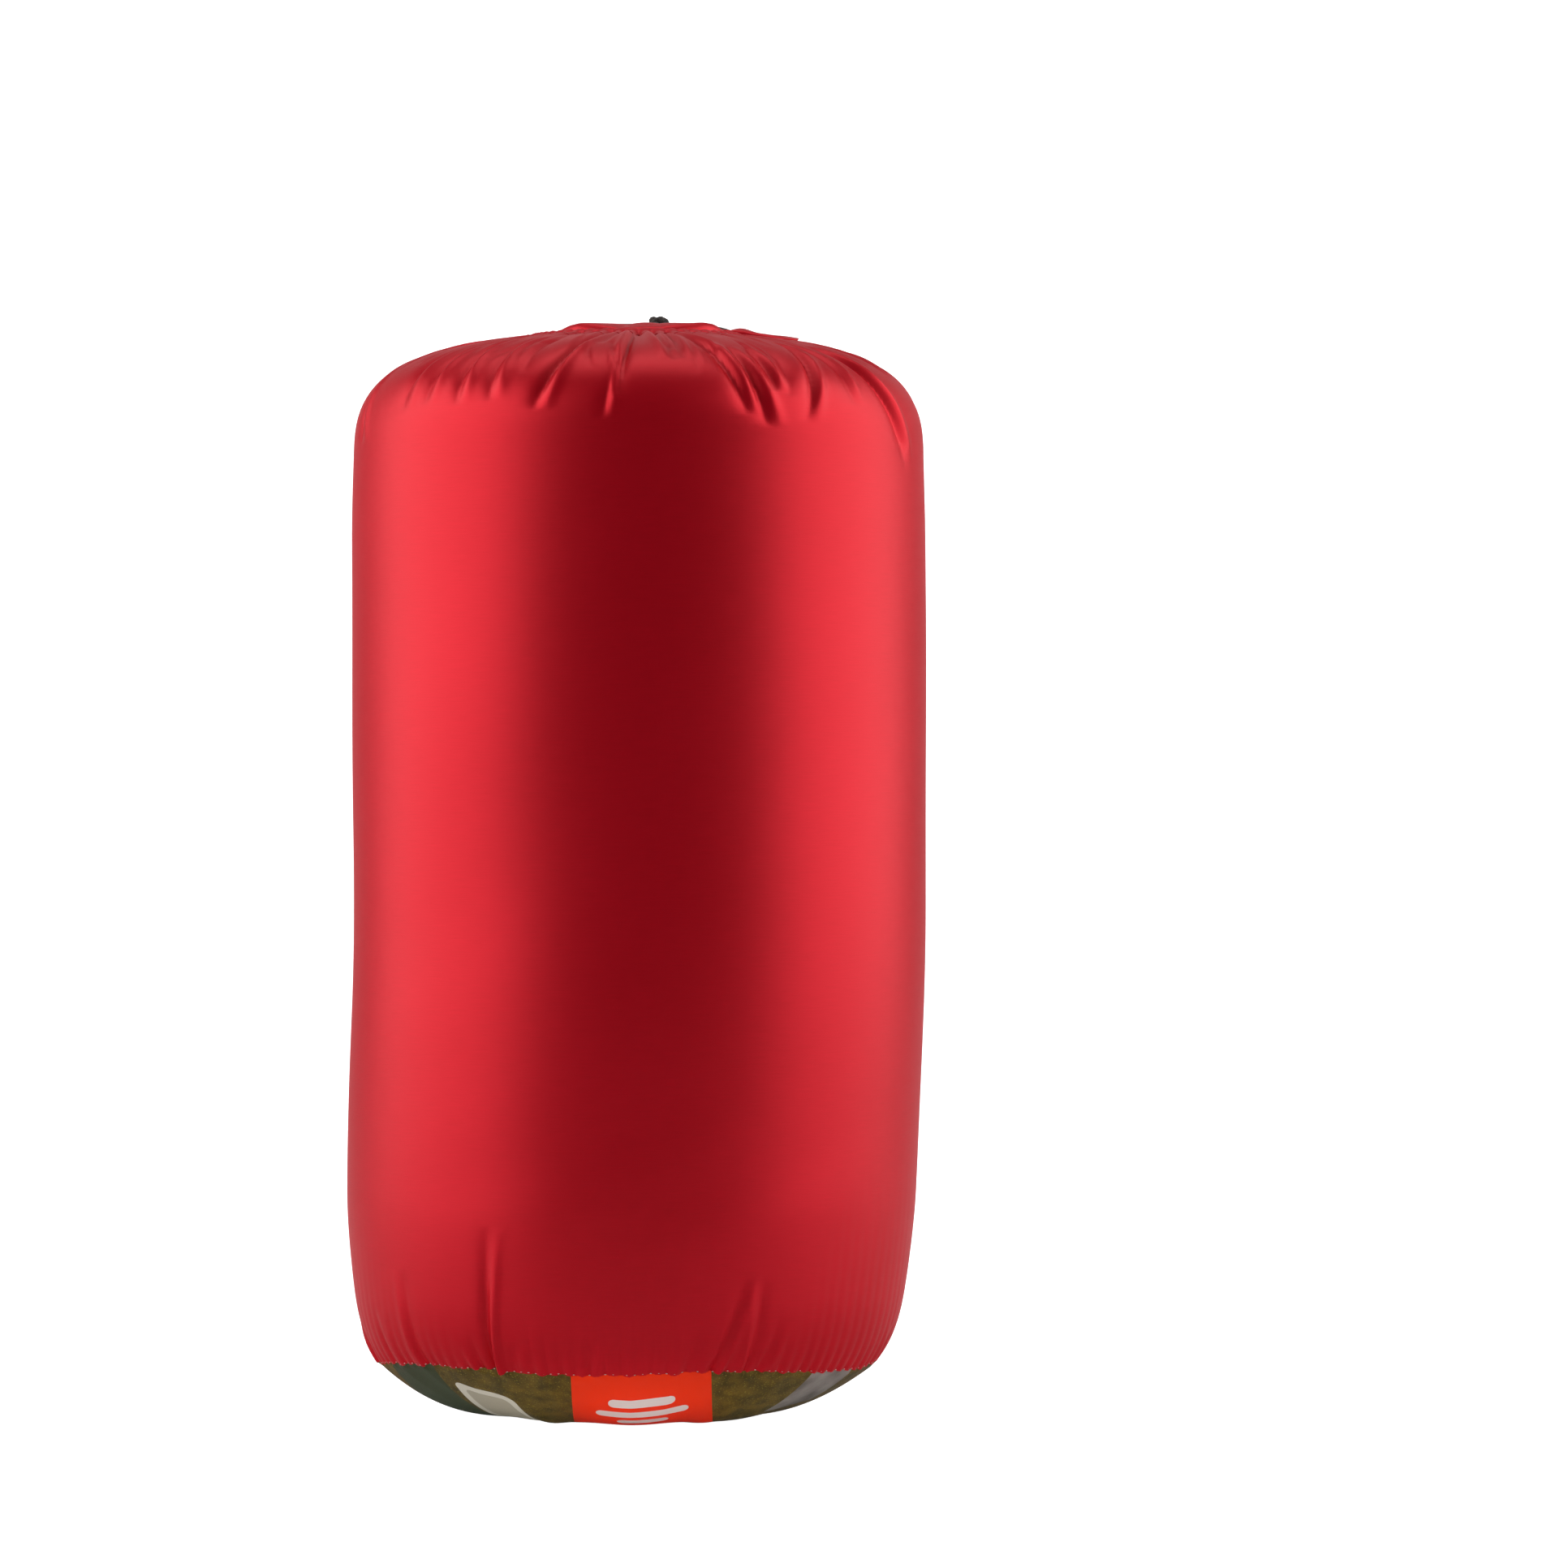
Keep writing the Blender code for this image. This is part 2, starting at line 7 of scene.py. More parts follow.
import math
import random

import bmesh
import bpy
import numpy as np
from mathutils import Matrix, Vector


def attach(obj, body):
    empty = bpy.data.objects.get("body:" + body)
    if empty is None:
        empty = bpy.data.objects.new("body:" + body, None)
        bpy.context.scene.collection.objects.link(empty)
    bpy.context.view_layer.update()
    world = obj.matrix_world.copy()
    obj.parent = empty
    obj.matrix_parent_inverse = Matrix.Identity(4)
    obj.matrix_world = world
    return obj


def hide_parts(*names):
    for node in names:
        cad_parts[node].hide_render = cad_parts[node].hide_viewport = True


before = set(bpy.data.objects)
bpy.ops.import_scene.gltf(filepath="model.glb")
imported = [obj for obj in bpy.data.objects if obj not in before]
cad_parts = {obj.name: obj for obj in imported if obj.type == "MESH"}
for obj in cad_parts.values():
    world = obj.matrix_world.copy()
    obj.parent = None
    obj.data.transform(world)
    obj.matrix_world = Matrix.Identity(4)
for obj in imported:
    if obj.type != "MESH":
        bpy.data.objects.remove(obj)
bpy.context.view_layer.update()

MM = 0.001

# The sack's outline and its storm flap, which follow the model's
SACK_RADIUS = 113.5
SEAM_RADIUS = 100.0
SEAM_HEIGHT = 22.6
FLAT_RADIUS = 44.0
BASE_CURVE = 2.2
SHOULDER_START = 383.0
SHOULDER_RISE = 49.0
SHOULDER_POWER = 2.8
SHOULDER_EDGE = 44.8
LEAN = 4.2
HEM_RING = 41.6
HEM_HEIGHT = 428.9
HEM_RADIUS = 3.0
CORD_RADIUS = 1.75
FLAP_RADIUS = 37.9
FLAP_TURN_RADIUS = 34.4
FLAP_TURN_SHARE = 0.8
FLAP_LEVEL = 430.5
FLAP_SAG = 0.3
FLAP_CREST = 3.4
TONGUE_AZIMUTH = 85.0
TONGUE_LENGTH = 26.0

# Sewing, knot and elastic bands
CHANNEL_SEAM = 9.0
BACK_SEAM_ROWS = 4.6
KNOT_PLACE = (7.5, 12.0, 436.4)
KNOT_CORD_RADIUS = 1.35
BAND_RADIUS = 109.2
BAND_HALF_WIDTH = 9

# Fineness of the fabric meshes
SACK_COLUMNS = 640
FLAP_SPOKES = 240
BASE_SPOKES = 420

# Drawcord's free ends, in millimetres: the model's own routes
TAIL_LEFT = (
    (-11.0, 40.1, 428.9), (-7.4, 41.2, 429.1), (-4.4, 43.6, 430.0), (-2.6, 47.2, 431.9), (-2.0, 51.4, 434.3),
    (-2.0, 56.2, 435.6), (-2.0, 66.0, 433.6), (-2.0, 76.0, 431.7), (-2.0, 83.0, 429.9), (-5.4, 89.3, 426.1),
    (-13.0, 92.3, 423.1), (-23.0, 89.2, 423.4), (-32.0, 80.5, 425.3), (-37.5, 68.0, 427.9),
    (-38.0, 55.0, 430.4), (-33.5, 44.0, 432.5), (-28.0, 34.5, 434.4), (-27.0, 23.0, 433.4),
    (-25.0, 9.0, 432.8), (-17.0, -3.0, 432.8), (-5.0, -6.5, 432.8), (3.5, -1.0, 433.3), (6.6, 7.3, 434.9),
)
TAIL_RIGHT = (
    (11.0, 40.1, 428.9), (7.4, 41.2, 429.1), (4.4, 43.6, 430.0), (2.6, 47.2, 431.9), (2.0, 51.4, 434.3),
    (2.0, 56.2, 435.6), (2.0, 66.0, 433.6), (2.0, 76.0, 431.7), (2.0, 83.0, 429.9), (6.0, 89.3, 425.9),
    (15.0, 92.4, 422.7), (28.0, 89.0, 422.6), (42.0, 81.0, 423.1), (53.0, 69.0, 424.7), (57.0, 55.5, 427.4),
    (51.0, 43.5, 430.2), (40.5, 36.5, 432.2), (32.0, 31.5, 434.4), (28.4, 22.5, 433.4), (28.8, 12.0, 432.8),
    (26.6, 2.6, 432.8), (19.8, -2.8, 432.8), (12.6, 0.0, 433.2), (10.4, 7.2, 434.7),
)

# Pleats on the front of the shoulder: azimuths of the upper and lower end, their distances from the gathers,
# depth, width, and the ridge's side
SHOULDER_PLEATS = (
    (-78, -73, 45, 92, 1.8, 4.0, 1), (-56, -54, 32, 80, 1.2, 3.0, 1), (-49, -47, 25, 78, 1.9, 2.8, 1),
    (-41, -38, 22, 79, 2.2, 2.8, 1), (-33, -30, 20, 78, 1.9, 2.8, 1), (-25, -24, 18, 66, 1.0, 2.4, -1),
    (-13, -20, 8, 82, 3.4, 2.8, 1), (-7, -9, 4, 40, 1.3, 2.0, 1), (-1, -3, 2, 77, 3.0, 2.2, -1),
    (-4, -6, 46, 86, 1.5, 2.2, 1), (7, 9, 3, 58, 1.7, 1.9, -1), (12, 11, 4, 56, 1.5, 1.7, 1),
    (17, 23, 8, 84, 3.2, 3.0, 1), (24, 27, 44, 88, 2.4, 3.2, 1), (29, 30, 46, 74, 1.4, 2.6, 1),
    (35, 33, 26, 76, 1.1, 2.8, -1), (45, 36, 28, 86, 2.2, 2.8, 1), (50, 50, 30, 78, 1.2, 2.8, 1),
    (57, 68, 34, 98, 3.0, 3.6, 1),
)
# Creases that run up from the base seam, in the same terms, from the seam
SEAM_CREASES = (
    (-30, -28.6, 0, 60, 3.4, 1.5, 1), (-33, -34, 0, 18, 1.2, 1.8, -1), (-25, -24, 0, 13, 1.2, 1.6, 1),
    (-8, -6, 0, 16, 1.1, 1.5, 1), (14, 15, 0, 24, 1.3, 1.6, -1), (20, 25, 0, 42, 2.2, 1.5, 1),
    (28, 29, 0, 40, 2.1, 1.4, -1), (31, 34, 0, 26, 1.4, 1.7, 1),
)


def smooth_step(low, high, value):
    t = np.clip((value - low) / (high - low), 0, 1)
    return t * t * (3 - 2 * t)


def bell(value, middle, width):
    return np.exp(-(((value - middle) / width) ** 2))


def place(radius, azimuth, height):
    """Points in millimetres, from azimuths in degrees."""
    angle = np.radians(azimuth)
    return np.stack(np.broadcast_arrays(radius * np.sin(angle), -radius * np.cos(angle), height), axis=-1)


def turn_between(azimuth, middle):
    """How far an azimuth is from a middle one, from -180 to 180."""
    return (azimuth - middle + 180) % 360 - 180


def settle(points):
    """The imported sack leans: below the middle it has sagged a little towards -X."""
    points = np.array(points, dtype=float)
    points[..., 0] -= LEAN * (1 - smooth_step(0, 200, points[..., 2]))
    return points


# The sack's shape


def wall_radius(height):
    above = height - SEAM_HEIGHT
    return SACK_RADIUS - 10 * np.exp(-above / 14) - 3.5 * np.exp(-above / 60)


def shoulder_height(radius):
    flatness = 1 - np.minimum(radius / SACK_RADIUS, 1) ** SHOULDER_POWER
    return SHOULDER_START + SHOULDER_RISE * flatness ** (1 / SHOULDER_POWER)


def sack_outline():
    """Distance from the gathers, radius, height, and the outward direction, along the sack's outline."""
    turn = np.radians(np.linspace(298, 78, 60))
    hem = np.stack([HEM_RING + HEM_RADIUS * np.cos(turn), HEM_HEIGHT + HEM_RADIUS * np.sin(turn)], axis=1)
    widest = SACK_RADIUS - 0.01
    radius = SHOULDER_EDGE + (widest - SHOULDER_EDGE) * np.sin(np.linspace(0, math.pi / 2, 500))
    shoulder = np.stack([radius, shoulder_height(radius)], axis=1)
    height = np.linspace(SHOULDER_START - 6, SEAM_HEIGHT, 900)
    wall = np.stack([wall_radius(height), height], axis=1)
    line = np.concatenate([hem, shoulder, wall])
    steps = np.linalg.norm(np.diff(line, axis=0), axis=1)
    along = np.concatenate([[0], np.cumsum(steps)])
    along -= along[len(hem)]
    way = np.gradient(line, along, axis=0)
    way /= np.linalg.norm(way, axis=1)[:, None]
    outward = np.stack([-way[:, 1], way[:, 0]], axis=1)
    return along, line, outward


OUTLINE = sack_outline()
HEM_EDGE = float(OUTLINE[0][0])
SEAM_EDGE = float(OUTLINE[0][-1])


def outline_radius(along):
    return np.interp(along, OUTLINE[0], OUTLINE[1][:, 0])


def wander(azimuth, seed, size):
    """A slow wandering of an angle around the sack, in degrees."""
    draw = random.Random(seed)
    angle = np.radians(azimuth)
    turns = (2, 3, 5, 7, 11)
    return sum(size * draw.uniform(0.4, 1) / k * np.sin(k * angle + draw.uniform(0, 6.3)) for k in turns)


def mouth_gathers(azimuth, along):
    """The hem drawn up small: rounded folds with sharp valleys, widening and fading down the shoulder."""
    folds = np.abs(np.sin(np.radians(27 * (azimuth + wander(azimuth, 3, 7)))))
    coarse = np.abs(np.sin(np.radians(13 * (azimuth + wander(azimuth, 5, 10) + 4))))
    under_tongue = 1 - 0.75 * bell(azimuth, TONGUE_AZIMUTH, 22) * smooth_step(-2, 3, along)
    fine = 2.1 * np.exp(-(np.maximum(along, 0) / 16) ** 2) * (0.22 + 0.78 * smooth_step(-3, 4, along))
    wide = 1.0 * np.exp(-(((along - 20) / 24) ** 2)) * smooth_step(-2, 6, along)
    return -under_tongue * (fine * (1 - folds) + wide * (1 - coarse) ** 1.5)


def front_drop(azimuth, along):
    """How far the mouth sits lower in front than behind, where the cord lock lies."""
    around = np.abs(turn_between(azimuth, 0))
    return 0.9 * (1 - smooth_step(60, 120, around)) * (1 - smooth_step(28, 62, along))


def pleat(azimuth, along, start, end, near, far, depth, width, side):
    """A sharp valley with a rounded ridge beside it, deepest past its middle."""
    t = np.clip((along - near) / (far - near), 0, 1)
    centre = start + (end - start) * t**1.6
    inside = (along > near) & (along < far)
    strength = np.where(inside, np.sin(math.pi * t**1.25) ** 0.7, 0)
    across = np.radians(turn_between(azimuth, centre)) * outline_radius(along) / (width * (0.5 + 0.5 * t))
    valley = np.exp(-np.abs(across) ** 1.15)
    ridge = np.exp(-(((across - 1.7 * side) / 1.05) ** 2))
    return depth * strength * (0.6 * ridge - valley)


def back_pleats():
    """Pleats where the front ones end, all round the back."""
    draw = random.Random(11)
    pleats = []
    azimuth = 74.0
    while azimuth < 276:
        near = draw.uniform(2, 24)
        far = near + draw.uniform(34, 62)
        drift = draw.uniform(-7, 7)
        depth = draw.uniform(1.0, 2.8)
        width = draw.uniform(2.0, 3.4)
        pleats.append((azimuth, azimuth + drift, near, far, depth, width, draw.choice((-1, 1))))
        azimuth += draw.uniform(6, 13)
    return pleats


def fine_pleats():
    """Short thin ones between the others."""
    draw = random.Random(31)
    pleats = []
    count = 64
    for number in range(count):
        azimuth = 360 * number / count + draw.uniform(-2.4, 2.4)
        near = draw.uniform(0, 34)
        far = near + draw.uniform(18, 44)
        drift = draw.uniform(-4, 4)
        depth = draw.uniform(0.35, 0.9)
        pleats.append((azimuth, azimuth + drift, near, far, depth, 1.3, draw.choice((-1, 1))))
    return pleats


def seam_creases():
    """Creases that run up from the base seam where the front ones end, all round the back."""
    draw = random.Random(21)
    creases = []
    azimuth = 78.0
    while azimuth < 315:
        height = draw.uniform(12, 46)
        drift = draw.uniform(-2.5, 2.5)
        depth = draw.uniform(0.8, 2.2)
        width = draw.uniform(1.5, 2.4)
        creases.append((azimuth, azimuth + drift, 0, height, depth, width, draw.choice((-1, 1))))
        azimuth += draw.uniform(7, 18)
    return creases


def seam_puckers(azimuth, along):
    """Fine puckers above the base seam, tallest on the right."""
    above = SEAM_EDGE - along
    lobes = np.abs(np.sin(np.radians(55 * (azimuth + wander(azimuth, 9, 2.4)))))
    reach = 7 + 6 * (0.5 + 0.5 * np.sin(np.radians(azimuth * 4 + 50)))
    on_right = smooth_step(36, 50, azimuth) * (1 - smooth_step(74, 90, azimuth))
    tall = 0.30 * on_right * np.exp(-((above / 44) ** 2))
    return -(0.8 * np.exp(-above / reach) + tall) * (1 - lobes)


def slack(azimuth, along):
    """Long soft waves of the filled sack, and shallow slanting ones low on the front."""
    draw = random.Random(5)
    body = smooth_step(60, 110, along) * (1 - smooth_step(SEAM_EDGE - 60, SEAM_EDGE - 10, along))
    angle = np.radians(azimuth)
    waves = 0
    for k in (1, 2, 3, 4, 6):
        for m in (0.6, 1.4, 2.6):
            phase = draw.uniform(0, 6.3)
            waves = waves + draw.uniform(0.25, 1) / (k + m) * np.sin(k * angle + m * along / 52 + phase)
    slant = np.sin((along - SEAM_EDGE) / 7.5 + azimuth / 9)
    slant = slant * bell(along, SEAM_EDGE - 74, 26) * bell(azimuth, 12, 40)
    low = np.sin(along / 9 + azimuth / 16 + 1.0) * bell(along, SEAM_EDGE - 150, 60) * bell(azimuth, -55, 30)
    fullness = 1.2 * smooth_step(70, 130, along) * (1 - smooth_step(SEAM_EDGE - 70, SEAM_EDGE - 30, along))
    return fullness + body * 0.55 * waves + 0.16 * slant + 0.08 * low


def back_seam(azimuth, along):
    """The tube's own seam, felled flat down the back."""
    across = np.radians(turn_between(azimuth, 180)) * outline_radius(along)
    band = 0.55 * smooth_step(-6.5, -5.5, across) * (1 - smooth_step(5.5, 6.5, across))
    return smooth_step(30, 60, along) * (band - 0.5 * bell(across, 0, 0.8))


PLEATS = [*SHOULDER_PLEATS, *back_pleats(), *fine_pleats()]
CREASES = [*SEAM_CREASES, *seam_creases()]


def seam_wave(azimuth):
    """How far the scalloped seam stands above its mean height."""
    angle = np.radians(azimuth)
    scallops = 0.7 * np.abs(np.sin(16 * angle + wander(azimuth, 2, 25) / 9))
    return 1.1 * np.sin(2 * angle + 2.2) + 0.9 * np.sin(5 * angle - 0.6) + scallops - 0.4


def sack_points(azimuth, along, lift=0.0):
    """Points on the sack's outer face, in millimetres, lifted off it."""
    azimuth, along = np.broadcast_arrays(np.asarray(azimuth, float), np.asarray(along, float))
    distance, line, outward = OUTLINE
    radius, height = (np.interp(along, distance, line[:, i]) for i in range(2))
    normal = [np.interp(along, distance, outward[:, i]) for i in range(2)]
    relief = mouth_gathers(azimuth, along) + seam_puckers(azimuth, along) + slack(azimuth, along)
    relief = relief + back_seam(azimuth, along) + lift
    for numbers in PLEATS:
        relief = relief + pleat(azimuth, along, *numbers)
    above = SEAM_EDGE - along
    for start, end, near, far, depth, width, side in CREASES:
        t = np.clip((above - near) / (far - near), 0, 1)
        turn = turn_between(azimuth, start + (end - start) * t)
        across = np.radians(turn) * radius / (width * (1 + 0.8 * t))
        fade = (1 - t) ** 0.8 * (above < far) * smooth_step(near - 1, near + 8, above + 6)
        ridge = 0.6 * np.exp(-((across - 1.8 * side) ** 2))
        relief = relief + depth * fade * (ridge - np.exp(-np.abs(across) ** 1.2))
    at_seam = np.exp(-above / 16)
    height = height - front_drop(azimuth, along) + at_seam * seam_wave(azimuth)
    return settle(place(radius + relief * normal[0], azimuth, height + relief * normal[1]))


# Materials


class Finish:
    """A material's node tree, with short calls for what the materials share."""

    def __init__(self, name, roughness, **constants):
        self.material = bpy.data.materials.new(name)
        self.material.use_nodes = True
        self.nodes = self.material.node_tree.nodes
        self.links = self.material.node_tree.links
        self.shader = self.nodes["Principled BSDF"]
        self.shader.inputs["Roughness"].default_value = roughness
        for socket, value in constants.items():
            self.shader.inputs[socket.replace("_", " ")].default_value = value

    def node(self, kind, inputs, **settings):
        node = self.nodes.new(kind)
        for name, value in settings.items():
            setattr(node, name, value)
        for socket, value in inputs.items():
            if isinstance(value, bpy.types.NodeSocket):
                self.links.new(value, node.inputs[socket])
            else:
                node.inputs[socket].default_value = value
        return node

    def math(self, operation, first, second=0.0, third=0.0):
        inputs = {0: first, 1: second, 2: third}
        return self.node("ShaderNodeMath", inputs, operation=operation).outputs[0]

    def coordinates(self, kind, scale=(1, 1, 1)):
        source = self.node("ShaderNodeTexCoord", {}).outputs[kind]
        return self.node("ShaderNodeMapping", {"Vector": source, "Scale": scale}).outputs[0]

    def noise(self, vector, scale, detail=4.0):
        inputs = {"Vector": vector, "Scale": scale, "Detail": detail}
        return self.node("ShaderNodeTexNoise", inputs).outputs[0]

    def blend(self, factor, low, high):
        """A colour between two, or between a colour and another socket."""
        colours = {6: low, 7: high}
        colours = {k: v if isinstance(v, bpy.types.NodeSocket) else (*v, 1) for k, v in colours.items()}
        return self.node("ShaderNodeMix", {0: factor, **colours}, data_type="RGBA").outputs[2]

    def ramp(self, factor, start, end):
        inputs = {0: factor, 1: start, 2: end}
        return self.node("ShaderNodeMapRange", inputs).outputs[0]

    def weave(self, vector, threads):
        """Over and under threads, this many to the metre, from a vector in metres."""
        parts = self.node("ShaderNodeSeparateXYZ", {0: vector}).outputs
        turns = 2 * math.pi * threads
        across = self.math("SINE", self.math("MULTIPLY", parts[0], turns))
        along = self.math("SINE", self.math("MULTIPLY", parts[1], turns))
        return self.math("MULTIPLY", across, along)

    def finish(self, colour, height=None, distance=0.0001, strength=0.5):
        if isinstance(colour, bpy.types.NodeSocket):
            self.links.new(colour, self.shader.inputs["Base Color"])
        else:
            self.shader.inputs["Base Color"].default_value = (*colour, 1)
        if height is not None:
            bump = self.node("ShaderNodeBump", {"Height": height, "Distance": distance, "Strength": strength})
            self.links.new(bump.outputs[0], self.shader.inputs["Normal"])
        return self.material


def satin(name, deep, bright, roughness, metallic):
    """Glossy woven cloth, with slubs along its weft and a faint mottle."""
    tint = (1.0, 0.62, 0.62, 1.0)
    finish = Finish(name, roughness, Metallic=metallic, Specular_IOR_Level=0.5, Specular_Tint=tint)
    vector = finish.coordinates("UV")
    slubs = finish.noise(finish.coordinates("UV", (90, 2600, 1)), 1.0, 2.0)
    mottle = finish.noise(vector, 14.0, 3.0)
    factor = finish.math("MULTIPLY_ADD", slubs, 0.55, finish.math("MULTIPLY", mottle, 0.45))
    colour = finish.blend(finish.ramp(factor, 0.3, 0.7), deep, bright)
    height = finish.math("MULTIPLY_ADD", finish.weave(vector, 1900), 0.5, slubs)
    return finish.finish(colour, height, 0.00006, 0.35)


def rectangle(finish, x, y, centre, size, tilt, corner):
    """1 inside a round-cornered rectangle of the plane, else 0; places and sizes in metres."""
    turn = math.radians(tilt)
    from_x = finish.math("SUBTRACT", x, centre[0])
    from_y = finish.math("SUBTRACT", y, centre[1])
    cosine, sine = math.cos(turn), math.sin(turn)
    own_x = finish.math("MULTIPLY_ADD", from_x, cosine, finish.math("MULTIPLY", from_y, sine))
    own_y = finish.math("MULTIPLY_ADD", from_y, cosine, finish.math("MULTIPLY", from_x, -sine))
    out_x = finish.math("SUBTRACT", finish.math("ABSOLUTE", own_x), size[0] / 2 - corner)
    out_y = finish.math("SUBTRACT", finish.math("ABSOLUTE", own_y), size[1] / 2 - corner)
    out_x = finish.math("POWER", finish.math("MAXIMUM", out_x, 0.0), 2.0)
    out_y = finish.math("POWER", finish.math("MAXIMUM", out_y, 0.0), 2.0)
    outside = finish.math("SQRT", finish.math("ADD", out_x, out_y))
    return finish.math("LESS_THAN", outside, corner)


def printed_base():
    """Coated cloth printed with mossy ground, plain panels, a card, and an orange square with plain bars."""
    finish = Finish("printed_base", 0.5, Specular_IOR_Level=0.25)
    vector = finish.coordinates("Object")
    parts = finish.node("ShaderNodeSeparateXYZ", {0: vector}).outputs
    x, y = parts[0], parts[1]
    clumps = finish.noise(vector, 160.0, 6.0)
    specks = finish.noise(vector, 1500.0, 3.0)
    moss = finish.blend(finish.ramp(clumps, 0.35, 0.65), (0.068, 0.046, 0.004), (0.160, 0.098, 0.010))
    moss = finish.blend(finish.ramp(specks, 0.58, 0.72), moss, (0.33, 0.25, 0.04))
    clouds = finish.ramp(finish.noise(vector, 60.0, 5.0), 0.35, 0.65)
    stone = finish.blend(clouds, (0.12, 0.10, 0.085), (0.36, 0.32, 0.29))
    colour = finish.blend(rectangle(finish, x, y, (0.080, -0.060), (0.027, 0.058), 46, 0.001), moss, stone)
    panel = rectangle(finish, x, y, (-0.086, -0.048), (0.030, 0.090), -30, 0.001)
    colour = finish.blend(panel, colour, (0.045, 0.060, 0.022))
    card_place, card_tilt = (-0.0517, -0.0500), -23
    card = rectangle(finish, x, y, card_place, (0.026, 0.041), card_tilt, 0.004)
    colour = finish.blend(card, colour, (0.78, 0.74, 0.62))
    window = rectangle(finish, x, y, card_place, (0.019, 0.034), card_tilt, 0.003)
    colour = finish.blend(window, colour, (0.50, 0.45, 0.34))
    square_x = 0.0029
    square = rectangle(finish, x, y, (square_x, -0.076), (0.0542, 0.056), 0, 0.0006)
    colour = finish.blend(square, colour, (1.0, 0.036, 0.001))
    for centre_y, width in ((-0.0860, 0.026), (-0.0775, 0.036), (-0.0690, 0.020)):
        bar = rectangle(finish, x, y, (square_x, centre_y), (width, 0.0052), 0, 0.0024)
        colour = finish.blend(bar, colour, (0.82, 0.78, 0.74))
    height = finish.math("MULTIPLY_ADD", finish.weave(vector, 1700), 0.6, finish.noise(vector, 90.0))
    return finish.finish(colour, height, 0.00012, 0.35)


def braid():
    """Brown-black braided cord."""
    finish = Finish("cord_braid", 0.7, Sheen_Weight=0.08)
    vector = finish.coordinates("Object")
    fibres = finish.noise(vector, 2600.0, 2.0)
    colour = finish.blend(finish.ramp(fibres, 0.42, 0.62), (0.006, 0.005, 0.004), (0.060, 0.040, 0.028))
    return finish.finish(colour, fibres, 0.0001, 0.6)


def plain(name, low, high, roughness, scale, distance=0.00005, strength=0.3, **constants):
    """Moulded, drawn or felted stuff: a fine mottle in colour and in relief."""
    finish = Finish(name, roughness, **constants)
    vector = finish.coordinates("Object")
    grain = finish.noise(vector, scale, 5.0)
    return finish.finish(finish.blend(grain, low, high), grain, distance, strength)


def woven(name, low, high, roughness, threads, distance=0.0001):
    """Matt woven cloth on pieces that have no fabric coordinates of their own."""
    finish = Finish(name, roughness, Sheen_Weight=0.3)
    vector = finish.coordinates("Object")
    mottle = finish.noise(vector, 120.0, 5.0)
    parts = finish.node("ShaderNodeSeparateXYZ", {0: vector}).outputs
    around = finish.math("ADD", parts[0], parts[1])
    flat = finish.node("ShaderNodeCombineXYZ", {0: around, 1: parts[2]}).outputs[0]
    height = finish.math("MULTIPLY_ADD", finish.weave(flat, threads), 0.5, mottle)
    return finish.finish(finish.blend(mottle, low, high), height, distance, 0.5)


# Meshes


def add(name, mesh, material, body="sack", replaces=()):
    """A visual piece with one material, riding on one of the model's bodies."""
    obj = bpy.data.objects.new(name, mesh)
    bpy.context.scene.collection.objects.link(obj)
    obj.data.materials.clear()
    obj.data.materials.append(material)
    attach(obj, body)
    if replaces:
        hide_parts(*replaces)
    return obj


def grid_mesh(name, points, fabric, closed=True, centre=None):
    """A mesh over rows of points in millimetres, with fabric coordinates in metres.

    A centre point, where there is one, closes the first row.
    """
    rows, columns = points.shape[:2]
    vertices = points.reshape(-1, 3) * MM
    index = np.arange(rows * columns).reshape(rows, columns)
    last = columns if closed else columns - 1
    near, far = index[:, :last], np.roll(index, -1, axis=1)[:, :last]
    faces = np.stack([near[:-1], near[1:], far[1:], far[:-1]], axis=-1).reshape(-1, 4).tolist()
    if centre is not None:
        vertices = np.concatenate([vertices, [np.array(centre) * MM]])
        faces += [[int(a), int(b), len(vertices) - 1] for a, b in zip(near[0], far[0])]
    mesh = bpy.data.meshes.new(name)
    mesh.from_pydata(vertices.tolist(), [], faces)
    coordinates = fabric.reshape(-1, 2)
    if centre is not None:
        coordinates = np.concatenate([coordinates, [[0.0, 0.0]]])
    corners = np.empty(len(mesh.loops), np.int32)
    mesh.loops.foreach_get("vertex_index", corners)
    layer = mesh.uv_layers.new(name="fabric")
    layer.data.foreach_set("uv", coordinates[corners].astype(np.float32).ravel())
    mesh.shade_smooth()
    return mesh


def modify(obj, kind, **settings):
    modifier = obj.modifiers.new(kind.lower(), kind)
    for name, value in settings.items():
        setattr(modifier, name, value)


def smooth_route(points, spacing=0.35):
    """The model's smooth curve through a route's points, evenly spaced, in millimetres."""
    places = [np.array(point) for point in points]
    padded = [2 * places[0] - places[1], *places, 2 * places[-1] - places[-2]]
    route = []
    for before, start, end, after in zip(padded, padded[1:], padded[2:], padded[3:]):
        for t in np.arange(0, 1, 1 / 24):
            route.append(
                start
                + (end - before) * t / 2
                + (2 * before - 5 * start + 4 * end - after) * t**2 / 2
                + (3 * start - before - 3 * end + after) * t**3 / 2
            )
    route = np.array([*route, places[-1]])
    distance = np.concatenate([[0], np.cumsum(np.linalg.norm(np.diff(route, axis=0), axis=1))])
    count = max(round(distance[-1] / spacing), 8)
    even = np.linspace(0, distance[-1], count + 1)
    return np.stack([np.interp(even, distance, route[:, i]) for i in range(3)], axis=1)


